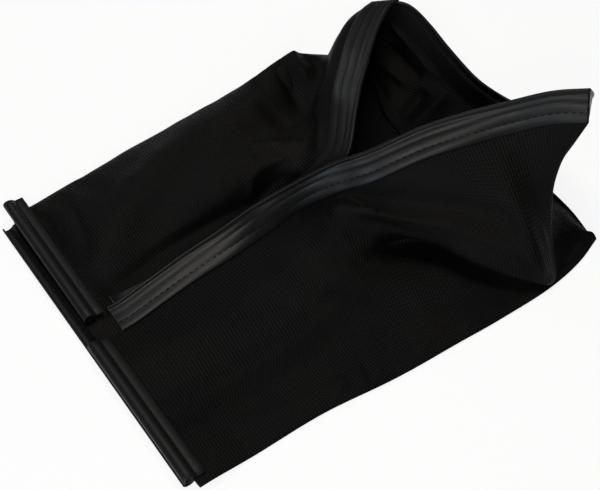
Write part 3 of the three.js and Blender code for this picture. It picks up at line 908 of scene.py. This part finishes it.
def clip_piece(node, length, place, turn):
    stations = np.linspace(0, length, max(2, round(length / clip_rows_step)) + 1)
    rows = np.zeros((len(stations), len(clip_outline_points), 3))
    rows[..., 0] = clip_outline_points[None, :, 0]
    rows[..., 1] = stations[:, None]
    rows[..., 2] = clip_outline_points[None, :, 1]
    rows = (rows @ np.array(turn).T + np.array(place)) * MM
    obj = piece(node + "_moulded", grid_mesh(node, rows, seam_loop=True), black_clip)
    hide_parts(node)
    crease_edges = obj.modifiers.new("edges", "BEVEL")
    crease_edges.width = 0.15 * MM
    crease_edges.segments = 1
    crease_edges.limit_method = "ANGLE"
    crease_edges.angle_limit = math.radians(50)


near_clip_z = near_layer + mesh_layer / 2 + clearance
far_clip_z = far_layer + mesh_layer / 2 + clearance + far_flange_ease
clip_piece("near_side_clip", side_clip_length,
           (front_x(near_clip_start), near_clip_start, near_clip_z), clip_turn)
clip_piece("far_side_clip", side_clip_length,
           (front_x(far_clip_start) + far_setback, far_clip_start, far_clip_z),
           Matrix.Rotation(far_layer_rise, 3, "X") @ clip_turn)
clip_piece("front_bottom_clip", long_clip_end - long_clip_start,
           (front_x(long_clip_end), long_clip_end, clip_height),
           clip_turn @ Matrix.Rotation(math.pi, 3, "X"))

# %% [markdown]
# ## Floor and light
# The bag lies on a plain white floor. The floor looks white to the camera and in reflections, and a
# weaker plain surface below keeps the bag's shadow. One wide lamp hangs overhead, a smaller one stands
# by the camera, a cool one stands low in front of the folds, and one comes from behind, so that every
# fold has a soft edge of light.

# %% Floor
floor_glow = 0.88


def floor_piece():
    net = bmesh.new()
    bmesh.ops.create_grid(net, x_segments=1, y_segments=1, size=6.0)
    mesh = bpy.data.meshes.new("floor")
    net.to_mesh(mesh)
    net.free()
    obj = bpy.data.objects.new("floor", mesh)
    bpy.context.scene.collection.objects.link(obj)
    material = bpy.data.materials.new("white_floor")
    material.use_nodes = True
    tree = material.node_tree
    shader = tree.nodes["Principled BSDF"]
    shader.inputs["Base Color"].default_value = (0.8, 0.8, 0.8, 1)
    shader.inputs["Roughness"].default_value = 0.8
    shader.inputs["Specular IOR Level"].default_value = 0.2
    glow = add_node(tree, "ShaderNodeEmission")
    path = add_node(tree, "ShaderNodeLightPath")
    seen = calculate(tree, "MAXIMUM", path.outputs["Is Camera Ray"], path.outputs["Is Glossy Ray"])
    seen = calculate(tree, "MAXIMUM", seen, path.outputs["Is Transmission Ray"])
    share = calculate(tree, "MULTIPLY", seen, floor_glow)
    mix = add_node(tree, "ShaderNodeMixShader")
    tree.links.new(share, mix.inputs[0])
    tree.links.new(shader.outputs[0], mix.inputs[1])
    tree.links.new(glow.outputs[0], mix.inputs[2])
    tree.links.new(mix.outputs[0], tree.nodes["Material Output"].inputs["Surface"])
    mesh.materials.append(material)


floor_piece()


# %% World and lamps
def world_light(strength):
    world = bpy.data.worlds.new("studio")
    world.use_nodes = True
    tree = world.node_tree
    background = tree.nodes["Background"]
    background.inputs["Color"].default_value = (1, 1, 1, 1)
    path = add_node(tree, "ShaderNodeLightPath")
    span = add_node(tree, "ShaderNodeMapRange")
    tree.links.new(path.outputs["Is Camera Ray"], span.inputs["Value"])
    span.inputs["To Min"].default_value = strength
    span.inputs["To Max"].default_value = 1.0
    tree.links.new(span.outputs[0], background.inputs["Strength"])
    bpy.context.scene.world = world


def lamp(name, place, aim, size, power, color):
    data = bpy.data.lights.new(name, "AREA")
    data.shape = "SQUARE"
    data.size = size
    data.energy = power
    data.color = color
    obj = bpy.data.objects.new(name, data)
    bpy.context.scene.collection.objects.link(obj)
    obj.location = place
    obj.rotation_euler = (Vector(aim) - Vector(place)).to_track_quat("-Z", "Y").to_euler()


world_light(0.07)
lamp("overhead", (0.25, 0.35, 2.1), (0.05, 0.0, 0.0), 0.8, 27.0, (1.0, 0.96, 0.89))
lamp("by_the_camera", (-1.1, -1.2, 1.2), (0.05, 0.0, 0.05), 0.3, 15.0, (1.0, 0.96, 0.9))
lamp("low_in_front", (-1.8, -0.85, 0.5), (0.1, 0.0, 0.05), 0.5, 18.0, (0.76, 0.89, 1.0))
lamp("from_behind", (0.1, 1.9, 1.6), (0.0, 0.0, 0.05), 0.8, 9.0, (0.93, 0.97, 1.0))
bpy.context.scene.view_settings.view_transform = "Standard"
